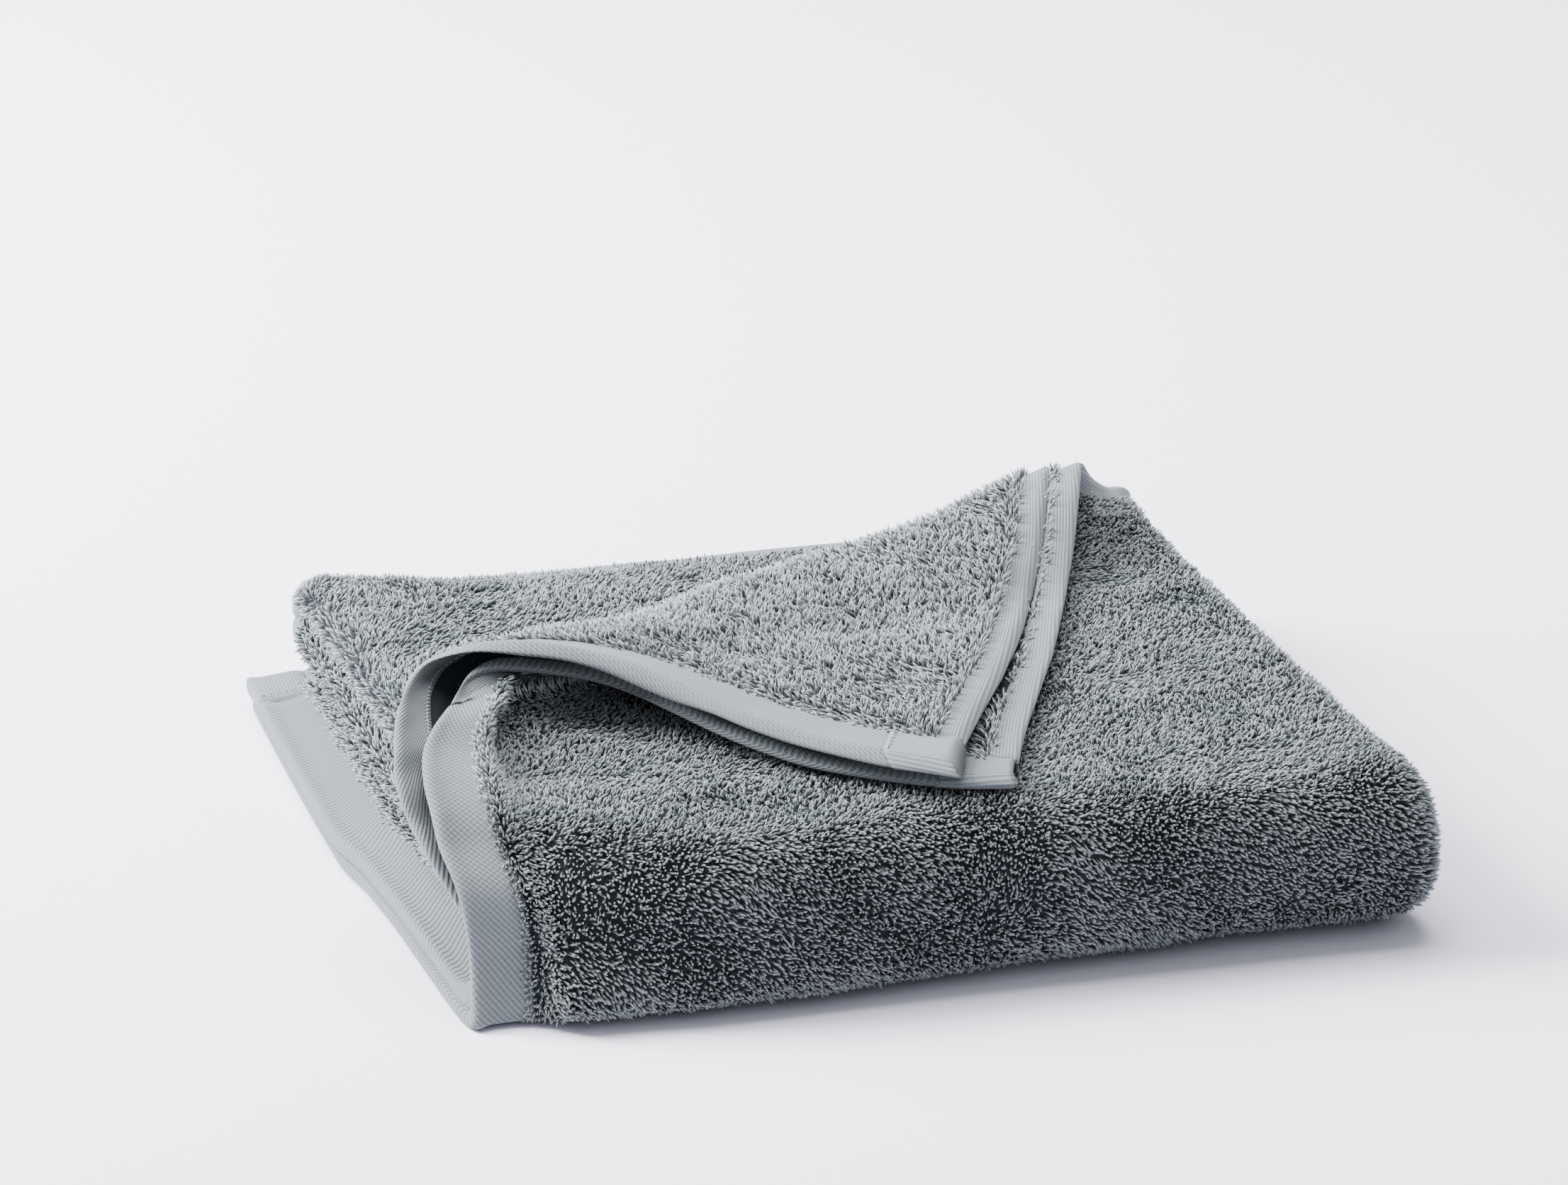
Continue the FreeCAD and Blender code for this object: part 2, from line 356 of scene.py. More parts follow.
def placed(v, u, n):
    """The exact folds, with the puffed inner folds and the front turn leaning back at its left."""
    x, depth = fold_length(v, n)
    y, z, over = fold_width(u, depth)
    upper = z > HALF
    inner = smooth((depth - 1.6 * PITCH) / (0.6 * PITCH))
    # the inner folds are free at the back left and puff up there
    free = (1 - smooth((x - 30) / 260)) * smooth((y - HALF) / 60)
    edge = 1 - smooth((x - 29) / 60)
    puffed = z + (z - HALF) * np.where(upper, PUFF + EDGE_PUFF * edge, 0.0) * free * inner
    x = x - EDGE_OUT * inner * edge * np.abs(2 * over - 1)
    puffed = puffed - BACK_DROP * free * inner * upper * smooth((u - WIDTH + 40) / 40)
    # the lower hems sink to the floor
    low_edge = (1 - smooth((x + 2) / 34)) * (1 - inner) * np.where(upper, 0, 1)
    x = x - HEM_BOW * low_edge * np.sin(math.pi * np.clip((y - 40) / 330, 0, 1))
    z = z - low_edge * np.where(depth > PITCH, *HEM_SINK) * (1 - over)
    puffed = puffed - low_edge * np.where(depth > PITCH, *HEM_SINK) * (1 - over)
    # the front turn leans back and its foot slumps forward, most at its left
    lean = np.interp(z, LEAN[:, 0], LEAN[:, 1]) * (1 - smooth((x - 10) / 110))
    lean = lean * (1 - smooth((y - HALF) / 130))
    foot = (1 - smooth((z - 4) / 32)) * (1 - smooth((y - 4) / 80)) * (1 - over)
    y = y - SLUMP * foot * (1 - smooth((x - 60) / 260))
    # the two top layers roll over the ridge; the inner one of them has some slack at the front
    y = y - SLACK * smooth(2 * over - 1) * (v > RUNS[5]) * (1 - smooth((x - 345) / 27))
    share = np.where(v < 0.5 * LENGTH, 1 - smooth((v - RUNS[0]) / (RUNS[1] - RUNS[0])),
                     smooth((v - RUNS[4]) / (RUNS[5] - RUNS[4])))
    share = share * (upper & (over >= 1))
    below = np.where(v < 0.5 * LENGTH, -n, PITCH + n)
    rx, ry, rz, angle = rolled(np.minimum(x, RIGHT_X), y, below)
    lean = lean * (1 - share * smooth(angle))
    puffed = np.where((v < RUNS[1]) | (v > RUNS[4]), z, puffed)
    x = x + share * (rx - np.minimum(x, RIGHT_X))
    y = y + share * (ry - y) + lean
    return x, y, puffed + share * rz


point = placed(np.full(1, 200.0), np.full(1, 600.0), np.zeros(1))
print("length 200, width 600 goes to", [round(float(k[0]), 1) for k in point])

# %% [markdown]
# ## The whole rule
#
# The difference between a listed line and the folded towel's own edge is the pull of that hem. The
# cloth beside it takes a share of the pull that fades inwards: soon before the ridge, so that the
# turned corner stands over a hollow, and slowly past it, where the whole flap follows its hem.

# %% From the flat towel to the folded one
TURNED_IN = (-6.0, 13.0)  # X and Y by which the back hem's inner part turns in behind its lip
SIDE_BOW, SIDE_SINK = 9.0, 6.0  # of the turned side hems, towards the open loop at the back
DENTS = ((1.1, 46, 3), (0.6, 21, 4))  # depth, size and seed of the pressed pile's dents


def hem_pull(line, v_edge):
    """How far the listed line is from the placed edge, every 3 mm along it."""
    u = np.append(np.arange(line[0, 0], WIDTH - 1, 3.0), WIDTH)
    x, y, z = placed(np.full(len(u), v_edge), u, np.zeros(len(u)))
    wanted = [eased(u, line, column) for column in range(1, 5)]
    return np.column_stack([u, wanted[0] - x, wanted[1] - y, wanted[2] - z, wanted[3]])


OUTER_PULL, INNER_PULL = hem_pull(OUTER_LINE, 0.0), hem_pull(INNER_LINE, LENGTH)


def cloth(v, u, n):
    """Where the point at length v, width u and normal distance n of the flat towel ends up."""
    v, u, n = np.broadcast_arrays(np.asarray(v, float), np.asarray(u, float), np.asarray(n, float))
    x, y, z = placed(v, u, n)
    spot = [x, y, z]
    for pull, inset in ((OUTER_PULL, v), (INNER_PULL, LENGTH - v)):
        # past the front turn the pull follows the ridge's direction into the cloth
        at = u - math.tan(RIDGE_ANGLE) * inset * smooth((u - 450) / 60)
        # before the ridge it fades soon, so the turned corner stands over a hollow
        past = smooth((at - 518) / 30)
        reach = 26 + 81 * past + 35 * smooth((at - 560) / 100)
        share = 1 - smooth((inset - 21 + 9 * past) / reach)
        share = share * smooth((u - pull[0, 0] + 40) / 40)
        for axis in range(3):
            spot[axis] = spot[axis] + share * eased(at, pull, axis + 1)
        spot[2] = spot[2] - 0.5 * share * eased(at, pull, 4) * np.clip(inset / END_HEM, 0, 1)
        if pull is INNER_PULL:
            # in the rise of the wave the back hem's inner part turns in, behind its lip
            turned = smooth((u - 380) / 40) * (1 - smooth((u - 500) / 50))
            turned = turned * smooth(inset / 26) * (1 - smooth((inset - 26) / 50))
            spot[0] = spot[0] + TURNED_IN[0] * turned
            spot[1] = spot[1] + TURNED_IN[1] * turned
    # the side hems of the turned corner bow out towards the open loop at the back
    inset = np.minimum(v, LENGTH - v)
    bow = smooth(inset / 240) * (1 - smooth((inset - 335) / 50)) * smooth((u - 640) / 110)
    spot[0] = spot[0] + SIDE_BOW * bow * smooth((spot[2] - 60) / 8)
    spot[2] = spot[2] - SIDE_SINK * bow * (v > RUNS[5])
    # soft dents and swells of the pressed pile
    loose = smooth((spot[2] - 20) / 40)
    swell = [deep * noise(spot[0], spot[1], size, seed) for deep, size, seed in DENTS]
    spot[2] = spot[2] + loose * (swell[0] + swell[1])
    return np.stack(spot, -1) + ORIGIN


print("largest pull of the outer and the inner hem",
      np.abs(OUTER_PULL[:, 1:4]).max(0).round(1), np.abs(INNER_PULL[:, 1:4]).max(0).round(1))

# %% [markdown]
# ## Putting arrays into meshes
#
# Blender takes a mesh as three plain lists: the points, the corners of all faces in a row, and where
# each face starts. Handing over whole arrays takes a moment even for a hundred thousand tufts,
# where adding them one by one would take minutes.

# %% Mesh helpers


def new_mesh(name, points, faces, sizes):
    """Mesh object from points in mm, the corners of all faces in a row, and each face's count."""
    mesh = bpy.data.meshes.new(name)
    mesh.vertices.add(len(points))
    mesh.vertices.foreach_set("co", (points * MM).astype(np.float32).ravel())
    mesh.loops.add(len(faces))
    mesh.loops.foreach_set("vertex_index", faces.astype(np.int32))
    mesh.polygons.add(len(sizes))
    starts = np.concatenate([[0], np.cumsum(sizes)[:-1]])
    mesh.polygons.foreach_set("loop_start", starts.astype(np.int32))
    mesh.polygons.foreach_set("use_smooth", np.ones(len(sizes), bool))
    mesh.update(calc_edges=True)
    mesh.validate()
    piece = bpy.data.objects.new(name, mesh)
    bpy.context.collection.objects.link(piece)
    return piece


def outward(points, quads):
    """The same quads, turned round if the volume that they close comes out negative."""
    a, b, c, d = (points[quads[:, k]] for k in range(4))
    volume = np.einsum("ij,ij->", a, np.cross(b, c)) + np.einsum("ij,ij->", a, np.cross(c, d))
    return quads if volume > 0 else quads[:, ::-1]


def tube_quads(rings, around):
    """Quads of a closed tube: each ring's corners joined to the next ring's."""
    i, j = np.meshgrid(np.arange(rings - 1), np.arange(around), indexing="ij")
    k = (j + 1) % around
    corners = [i * around + j, i * around + k, (i + 1) * around + k, (i + 1) * around + j]
    return np.stack(corners, -1).reshape(-1, 4)


def sheet_quads(m, n):
    """Quads of an open grid of m by n points."""
    i, j = np.meshgrid(np.arange(m - 1), np.arange(n - 1), indexing="ij")
    corners = [i * n + j, (i + 1) * n + j, (i + 1) * n + j + 1, i * n + j + 1]
    return np.stack(corners, -1).reshape(-1, 4)


def spaced(stops, steps):
    """Numbers from stop to stop, each stretch cut into equal steps of about the given size."""
    pieces = [np.linspace(a, b, max(2, math.ceil((b - a) / step) + 1))[:-1]
              for a, b, step in zip(stops, stops[1:], steps)]
    return np.concatenate(pieces + [[stops[-1]]])


# %% [markdown]
# ## The woven base
#
# Between the two piles is an ordinary woven cloth, which holds the towel together. It could be a
# plane with a Solidify modifier. Here it is two grids, one for each face, closed along all four
# edges, so that its thickness goes through the same folds as everything else. The grid is fine only
# where the cloth bends.

# %% Woven base
LENGTH_STOPS = [END_HEM - 2, *RUNS[:6], LENGTH - END_HEM + 2]
V_GRID = spaced(LENGTH_STOPS, [6, 3, 12, 2.5, 8, 2.5, 6])
TURN_START, TURN_END = straight_length(0.0), WIDTH - straight_length(0.0)
U_GRID = spaced([SIDE_HEM - 1, TURN_START, TURN_END, WIDTH - SIDE_HEM + 1], [9, 3.5, 5.5])


def woven_base():
    """The sheet between the piles: its face and back grids, joined round the rim."""
    v, u = np.meshgrid(V_GRID, U_GRID, indexing="ij")
    m, n = v.shape
    points = np.concatenate([cloth(v, u, s * GROUND).reshape(-1, 3) for s in (-1, 1)])
    face = sheet_quads(m, n)
    index = np.arange(m * n).reshape(m, n)
    rim = np.concatenate([index[0, :-1], index[:-1, -1], index[-1, :0:-1], index[:0:-1, 0]])
    ahead = np.roll(rim, -1)
    side = np.stack([rim, ahead, ahead + m * n, rim + m * n], -1)
    quads = np.concatenate([face[:, ::-1], face + m * n, side])
    quads = outward(points, quads)
    return new_mesh("woven_base", points, quads.ravel(), np.full(len(quads), 4))


base = woven_base()
print("woven base", len(base.data.polygons), "faces")

# %% [markdown]
# ## Profiles of the hems
#
# Each end of the towel has a flat woven band with no pile, rolled over at its outer edge and sewn
# down. The long sides have a narrower plain hem, and at each corner the side hem is turned over the
# end hem in a small thick block. A hem is a tube: its profile is a list of insets from the edge
# with half a thickness at each, and its path runs along the edge of the cloth. A bevelled curve
# would give the same tube, but wouldn't fold with the towel.

# %% One hem
LIP = np.array([[0, 0.4], [0.25, 1.2], [1.0, 2.0], [2.4, 2.35], [4.2, 2.2], [6.0, 1.8],
                [8.5, 1.55], [12.0, 1.55], [16.0, 1.65], [19.5, 1.7], [22.2, 1.5], [24.2, 0.9]])
NARROW = np.array([[0, 0.4], [0.3, 1.1], [1.2, 1.6], [3.0, 1.6], [6.0, 1.45], [9.5, 1.4],
                   [11.4, 1.25], [12.4, 0.8]])
BLOCK = np.array([[0, 0.5], [0.4, 1.6], [1.4, 2.3], [3.2, 2.55], [7.0, 2.3], [14.0, 2.2],
                  [20.0, 2.0], [23.0, 1.6], [24.2, 1.0]])
HEM_LOWEST = 0.15  # a hem that lies on the floor stops this far above it


def put_uv(piece, across, along):
    """UV in metres: across and along, one value for each vertex."""
    loops = np.empty(len(piece.data.loops), np.int32)
    piece.data.loops.foreach_get("vertex_index", loops)
    layer = piece.data.uv_layers.new(name="weave")
    uv = np.stack([across[loops], along[loops]], -1) * MM
    layer.data.foreach_set("uv", uv.astype(np.float32).ravel())


def hem(name, path, outline, end_hem, far):
    """Closed tube: the outline's insets and half thicknesses, carried along a path at an edge.

    end_hem says that the path runs along the width, and far that the edge is the far one.
    """
    inset = np.concatenate([outline[::-1, 0], outline[:, 0]])
    normal = np.concatenate([outline[::-1, 1], -outline[:, 1]])
    place = (LENGTH if end_hem else WIDTH) - inset if far else inset
    p, i = np.meshgrid(path, place, indexing="ij")
    n = np.broadcast_to(normal, p.shape)
    points = (cloth(i, p, n) if end_hem else cloth(p, i, n)).reshape(-1, 3)
    points[:, 2] = np.maximum(points[:, 2], HEM_LOWEST)
    rings, around = p.shape
    half = around // 2
    j = np.arange(half - 1)
    cap = np.stack([j, j + 1, around - 2 - j, around - 1 - j], -1)
    quads = np.concatenate([tube_quads(rings, around), cap[:, ::-1], cap + (rings - 1) * around])
    quads = outward(points, quads)
    piece = new_mesh(name, points, quads.ravel(), np.full(len(quads), 4))
    steps = np.hypot(np.diff(inset, prepend=inset[0]), np.diff(normal, prepend=normal[0]))
    put_uv(piece, np.tile(np.cumsum(steps), rings), np.repeat(path, around))
    return piece


# %% [markdown]
# ## The eight hem pieces
#
# There are two end hems, two side hems, and a corner piece at both ends of each end hem. Of the two
# end hems that lie together at the left, the outer one is the start of the towel's length.

# %% All the hems
hem_path = spaced([CORNER, TURN_START, TURN_END, WIDTH - CORNER], [8, 2.5, 3.0])
side_path = spaced([END_HEM, *RUNS[:6], LENGTH - END_HEM], [4, 2.5, 10, 2.5, 8, 2.5, 4])
hems = {
    "end_hem_outer": hem("outer_end_band", hem_path, LIP, True, False),
    "end_hem_inner": hem("inner_end_band", hem_path, LIP, True, True),
    "side_hem_under": hem("under_side_band", side_path, NARROW, False, False),
    "side_hem_top": hem("top_side_band", side_path, NARROW, False, True)}
for far, which in ((False, "outer"), (True, "inner")):
    hems["hem_corner_" + which + "_under"] = hem(
        which + "_under_corner", np.linspace(0, CORNER, 12), BLOCK, True, far)
    hems["hem_corner_" + which + "_turned"] = hem(
        which + "_turned_corner", np.linspace(WIDTH - CORNER, WIDTH, 12), BLOCK, True, far)
for node, piece in hems.items():
    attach(piece, "root")
    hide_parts(node)
print("hems", sum(len(piece.data.polygons) for piece in hems.values()), "faces")

# %% [markdown]
# ## Pile: where tufts stand
#
# The pile of this towel is long twisted cotton, so it stands as separate tufts. A loom sets them in
# rows, and washing shakes the rows up, so they are a staggered grid with a random shift. On the real
# towel they are closer and finer than here. Drawn coarser they still cover the cloth, and each one
# can be seen.

# %% Roots
STEP = 1.62  # from one tuft to the next


def scatter(v0, v1, u0, u1, step, seed):
    """Places on the flat towel: a staggered grid with a random shift of up to 0.35 step."""
    rng = np.random.default_rng(seed)
    v, u = np.meshgrid(np.arange(v0, v1, step), np.arange(u0, u1, step * 0.87), indexing="ij")
    v = v + 0.5 * step * (np.arange(v.shape[1]) % 2)
    v = v + rng.uniform(-0.35, 0.35, v.shape) * step
    u = u + rng.uniform(-0.35, 0.35, v.shape) * step
    return v.ravel(), u.ravel()


def unit(a):
    """Vectors brought to length one."""
    return a / np.maximum(np.linalg.norm(a, axis=-1, keepdims=True), 1e-9)


def tuft_lean(v, u, side, nap, root, normal, rng):
    """Direction in which each tuft leans, and how near it is to a hem, from 0 to 1.

    The direction is the nap's, turned a little by two random fields and by each tuft's own turn.
    Beside a hem the tufts lean out over it, and on steep cloth they droop.
    """
    along = unit(cloth(v + 0.5, u, side * GROUND * 0.5) - root)
    along = unit(along - normal * (along * normal).sum(-1, keepdims=True))
    across = np.cross(normal, along)
    turn = nap[0] + nap[1] * noise(v, u, 30, 11) + 0.8 * noise(v, u, 8, 12)
    turn = turn + rng.normal(0, 0.7, len(v))
    lean = along * np.cos(turn)[:, None] + across * np.sin(turn)[:, None]
    to_end = np.where(v < LENGTH / 2, -1.0, 1.0)
    near_end = 1 - smooth((np.minimum(v, LENGTH - v) - END_HEM + 1) / 7)
    near_side = 1 - smooth((np.minimum(u, WIDTH - u) - SIDE_HEM + 2) / 6)
    beside = cloth(v, u + 0.5, side * GROUND * 0.5) - root
    to_side = np.where(u < WIDTH / 2, -1.0, 1.0) * np.sign((across * beside).sum(-1))
    lean = unit(lean + 1.6 * near_end[:, None] * to_end[:, None] * along
                + 1.6 * near_side[:, None] * to_side[:, None] * across)
    droop = np.array([0, 0, -0.35]) * np.abs(normal[:, :2]).sum(-1, keepdims=True)
    lean = lean + droop
    lean = unit(lean - normal * (lean * normal).sum(-1, keepdims=True))
    return lean, np.maximum(near_end, near_side)


# %% [markdown]
# ## Pile: the tuft
#
# Each tuft is a closed, three-sided, leaning spindle of ten triangles. It stands on the cloth's own
# normal and leans along a slowly turning direction, so that neighbours agree, as brushed or pressed
# pile does. Hair would be quicker to set up, but it has no surface to export, and a tuft has. A tuft
# is dark at its foot and light at its tip, because little light gets down between the yarns.

# %% Tufts
TUFT_T = np.array([0.0, 0.72, 1.0])  # the foot, the belly and the tip, along the spine
TUFT_R = np.array([0.42, 0.50])  # radius at the foot and at the belly
TUFT_LIT_SHARE = np.array([0.0] * 3 + [0.72] * 3 + [1.1])  # share of the tip colour at the seven points; the rest is painted shade
# linear colours: painted shade at a tuft's foot, and the yarn's own colour at its tip
FOOT_SHADE = np.array([0.050, 0.060, 0.065])
LIGHT = np.array([0.318, 0.352, 0.366])
FOOT_LIFT_ON_TOP = 1.3  # how much lighter the painted shade at the feet is where the cloth faces up


def tufts(name, v, u, side, size, tilt, nap, seed):
    """One mesh of closed tufts rooted at v, u on the face (side 1) or the back (side -1).

    A tuft's spine is root + L (t cos a N + (t + t²)/2 sin a T), with N the cloth's normal, T the
    direction of the lean and a its angle. A ring of three points stands round foot and belly.
    """
    rng = np.random.default_rng(seed)
    count = len(v)
    root = cloth(v, u, side * GROUND * 0.6)
    normal = unit(cloth(v, u, side * (GROUND * 0.5 + 2)) - root)
    lean, near_hem = tuft_lean(v, u, side, nap, root, normal, rng)
    tilt = tilt + 0.25 * near_hem
    binormal = np.cross(normal, lean)
    angle = np.clip(tilt + 0.12 * noise(v, u, 19, 13) + rng.normal(0, 0.18, count), 0.1, 1.25)
    length = size * (1 + 0.12 * noise(v, u, 23, 14) + rng.normal(0, 0.10, count))
    girth = rng.normal(1, 0.10, count).clip(0.75, 1.3)
    spin = rng.uniform(0, 2 * math.pi, count)
    t = TUFT_T[None, :, None]
    up, out = np.cos(angle)[:, None, None], np.sin(angle)[:, None, None]
    spine = root[:, None] + length[:, None, None] * (
        t * up * normal[:, None] + (t + t * t) / 2 * out * lean[:, None])
    flat = lean * np.cos(angle)[:, None] - normal * np.sin(angle)[:, None]
    a = spin[:, None] + np.arange(3) * 2 * math.pi / 3
    ring = (np.cos(a)[:, :, None] * binormal[:, None] + np.sin(a)[:, :, None] * flat[:, None])
    radius = (girth[:, None] * TUFT_R)[:, :, None, None]
    body = spine[:, :2, None] + radius * ring[:, None]
    points = np.concatenate([body.reshape(count, 6, 3), spine[:, 2:]], 1)
    # points that would pass the floor stop above it, each at its own height
    points[..., 2] = np.maximum(points[..., 2], 0.12 + 0.08 * np.arange(7))
    quads = tube_quads(2, 3)
    tips = np.array([[3, 4, 6], [4, 5, 6], [5, 3, 6]])
    cap = np.array([[2, 1, 0]])
    if (np.cross(ring[0, 0], ring[0, 1]) * (spine[0, 1] - spine[0, 0])).sum() < 0:
        quads, tips, cap = quads[:, ::-1], tips[:, ::-1], cap[:, ::-1]
    corners = np.concatenate([quads.ravel(), tips.ravel(), cap.ravel()])
    sizes = np.concatenate([np.full(3, 4), np.full(4, 3)])
    faces = (np.arange(count)[:, None] * 7 + corners).ravel()
    piece = new_mesh(name, points.reshape(-1, 3), faces, np.tile(sizes, count))
    tone = rng.normal(1, 0.10, count).clip(0.7, 1.3)[:, None, None]
    share = TUFT_LIT_SHARE[None, :, None]
    # painted shade, lighter on top: feet of tufts on cloth that faces up are painted lighter, except
    # where the nap is combed (the turned flap), whose darker feet paint the flap's shade
    facing_up = smooth((normal[:, 2] - 0.1) / 0.6)[:, None, None]
    foot_lift = 1 + (FOOT_LIFT_ON_TOP if nap[1] > 1 else 0.0) * facing_up
    # painted shade: each tuft's colour runs from shade painted at its foot to the yarn's own colour
    # at its tip, with a random tone per tuft
    colour = (FOOT_SHADE * foot_lift * (1 - share) + LIGHT * share) * tone
    colour = np.concatenate([colour, np.ones((count, 7, 1))], -1)
    layer = piece.data.color_attributes.new(name="yarn_and_shade", type="FLOAT_COLOR", domain="POINT")
    layer.data.foreach_set("color", colour.astype(np.float32).ravel())
    return piece


# %% [markdown]
# ## Pile: one region
#
# Pile inside the stack and under it isn't seen, so only the parts of the towel that show are given
# tufts. Each part is a rectangle of the flat towel, and some are cut by how far round the roll the
# cloth is. Tufts that lie on a top lean more than those of the front turn, which stand out.

# %% Growing pile
MOST = 19000  # tufts in one piece
LOOSE, COMBED = (1.2, 1.8), (0.43, 0.8)  # the nap's direction, and how much it wanders
pile = []


def turned_by(v, u):
    """How far round the roll the cloth is at v, u of the two top layers, in radians."""
    x, depth = fold_length(v, 0 * v)
    y, _, _ = fold_width(u, depth)
    return rolled(x, y, depth - 0.5 * PITCH)[3]


def grow(name, v, u, side, size, tilt, node, seed, nap=LOOSE):
    """Tufts at all the places, in pieces of at most MOST."""
    for k in range(math.ceil(len(v) / MOST)):
        part = slice(k * MOST, (k + 1) * MOST)
        piece = tufts(f"{name}_{k + 1}", v[part], u[part], side, size, tilt, nap, seed + k)
        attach(piece, "root")
        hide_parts(node)
        pile.append(piece)
    print(name, len(v), "tufts")


# %% [markdown]
# ## Pile: the outer layer
#
# The outer layer shows at the front, on top as far as the roll and a little under the flap, and at
# the right end of the lower half.

# %% Pile of the outer layer
A, B, C, D, E, F, _ = RUNS
in_end, in_side = END_HEM - 2.4, SIDE_HEM - 1.4
v, u = scatter(in_end, B, TURN_START - 18, TURN_END + 6, STEP, 21)
grow("front_pile", v, u, 1, 4.8, 0.32, "face_pile", 31)
v, u = scatter(in_end, B - 1, TURN_END + 6, WIDTH - in_side, STEP, 22)
shown = turned_by(v, u) < 1.5
grow("top_pile", v[shown], u[shown], 1, 4.1, 0.55, "face_pile", 41)
v, u = scatter(A - 14, B - 1, in_side, TURN_START - 18, 1.3 * STEP, 23)
grow("right_pile", v, u, 1, 4.9, 0.7, "face_pile", 51)

# %% [markdown]
# ## Pile: the inner layers
#
# The inner layers show behind the roll, where the corner has been taken off them, at their folds on
# the left, and beside the lower end hem.

# %% Pile of the inner layers
v, u = scatter(C - 22, E, TURN_END, WIDTH - in_side, STEP, 24)
x, depth = fold_length(v, 0 * v)
y, _, _ = fold_width(u, depth)
shown = (x * BACKWARD[0] + (y - RIDGE_START) * BACKWARD[1] > -22) | (x < 48)
grow("inner_pile", v[shown], u[shown], 1, 4.5, 0.6, "face_pile", 61)
v, u = scatter(C - 16, D + 20, in_side, TURN_END, STEP, 25)
grow("left_pile", v, u, 1, 4.8, 0.6, "face_pile", 71)
v, u = scatter(LENGTH - 62, LENGTH - in_end, in_side, TURN_START + 10, STEP, 29)
grow("lower_left_pile", v, u, 1, 4.6, 0.6, "face_pile", 111)

# %% [markdown]
# ## Pile: the turned corner
#
# The upper side of the turned corner is the face of the inner layer, combed one way when it was laid
# down. Beside its side hem and round the loop the back of the outer layer shows, and inside the
# roll that layer's face.

# %% Pile of the turned corner
v, u = scatter(F, LENGTH - in_end, TURN_END, WIDTH - in_side, STEP, 26)
shown = turned_by(v, u) > 0.05
# the combed flap's tufts keep the full painted shade at their feet, which darkens the flap
grow("corner_pile", v[shown], u[shown], 1, 5.4, 0.8, "face_pile", 81, COMBED)
v, u = scatter(in_end, A, WIDTH - 62, WIDTH - in_side, STEP, 27)
shown = turned_by(v, u) > 0.3
grow("corner_back_pile", v[shown], u[shown], -1, 5.0, 0.85, "back_pile", 91)
v, u = scatter(in_end, 110, TURN_END + 20, WIDTH - 62, 1.3 * STEP, 28)
shown = turned_by(v, u) > 0.2
grow("hollow_pile", v[shown], u[shown], 1, 5.2, 0.7, "face_pile", 101)
print("tufts in all", sum(len(piece.data.vertices) for piece in pile) // 7)

# %% [markdown]
# ## Sewing thread
#
# Every hem is held by a row of lockstitch close to its inner edge. Each stitch is a short closed
# spindle lying in the cloth, on both sides, so the row is real thread and not a drawn line.

# %% One row of stitches
STITCH, HALF_STITCH = 3.2, 1.25  # from one stitch to the next, and half of what shows of each
THREAD = 0.30  # radius of the thread
STITCH_T = np.array([0.0, 0.22, 0.78, 1.0])  # four points along a stitch
STITCH_LIFT = np.array([-0.35, 0.1, 0.1, -0.35])  # and their height: both ends dip into the cloth


def stitches(name, v, u, dv, du, n, seed):
    """Stitches centred at v, u, running along (dv, du), standing n off the middle of the cloth.

    A ring of four points stands round each of the two middle points of a stitch's spine.
    """
    rng = np.random.default_rng(seed)
    count = len(v)
    half = HALF_STITCH
    slip = rng.normal(0, 0.12, (2, count))
    v, u = v + slip[0] * abs(du), u + slip[1] * abs(dv)
    start, end = cloth(v - dv * half, u - du * half, n), cloth(v + dv * half, u + du * half, n)
    lift = unit(cloth(v, u, n + np.sign(n)) - cloth(v, u, n))
    side = unit(np.cross(end - start, lift))
    spine = start[:, None] + (end - start)[:, None] * STITCH_T[None, :, None]
    spine = spine + lift[:, None] * STITCH_LIFT[None, :, None]
    a = np.arange(4) * math.pi / 2
    ring = np.cos(a)[None, :, None] * side[:, None] + np.sin(a)[None, :, None] * lift[:, None]
    body = spine[:, 1:3, None] + THREAD * ring[:, None]
    points = np.concatenate([body.reshape(count, 8, 3), spine[:, :1], spine[:, 3:]], 1)
    points[..., 2] = np.maximum(points[..., 2], 0.12 + 0.05 * np.arange(10))
    quads = tube_quads(2, 4)
    k = np.arange(4)
    low = np.stack([(k + 1) % 4, k, np.full(4, 8)], -1)
    high = np.stack([4 + k, 4 + (k + 1) % 4, np.full(4, 9)], -1)
    if (np.cross(ring[0, 0], ring[0, 1]) * (end[0] - start[0])).sum() < 0:
        quads, low, high = quads[:, ::-1], low[:, ::-1], high[:, ::-1]
    corners = np.concatenate([quads.ravel(), low.ravel(), high.ravel()])
    faces = (np.arange(count)[:, None] * 10 + corners).ravel()
    sizes = np.tile(np.concatenate([np.full(4, 4), np.full(8, 3)]), count)
    return new_mesh(name, points.reshape(-1, 3), faces, sizes)


def both_sides(a, b, n):
    """The same places twice, on the face side and on the back."""
    return np.tile(a, 2), np.tile(b, 2), np.repeat([n, -n], len(a))


# %% [markdown]
# ## All the stitching
#
# One row runs along each of the four hems, and two short rows tack down the corner pieces of each
# end hem.

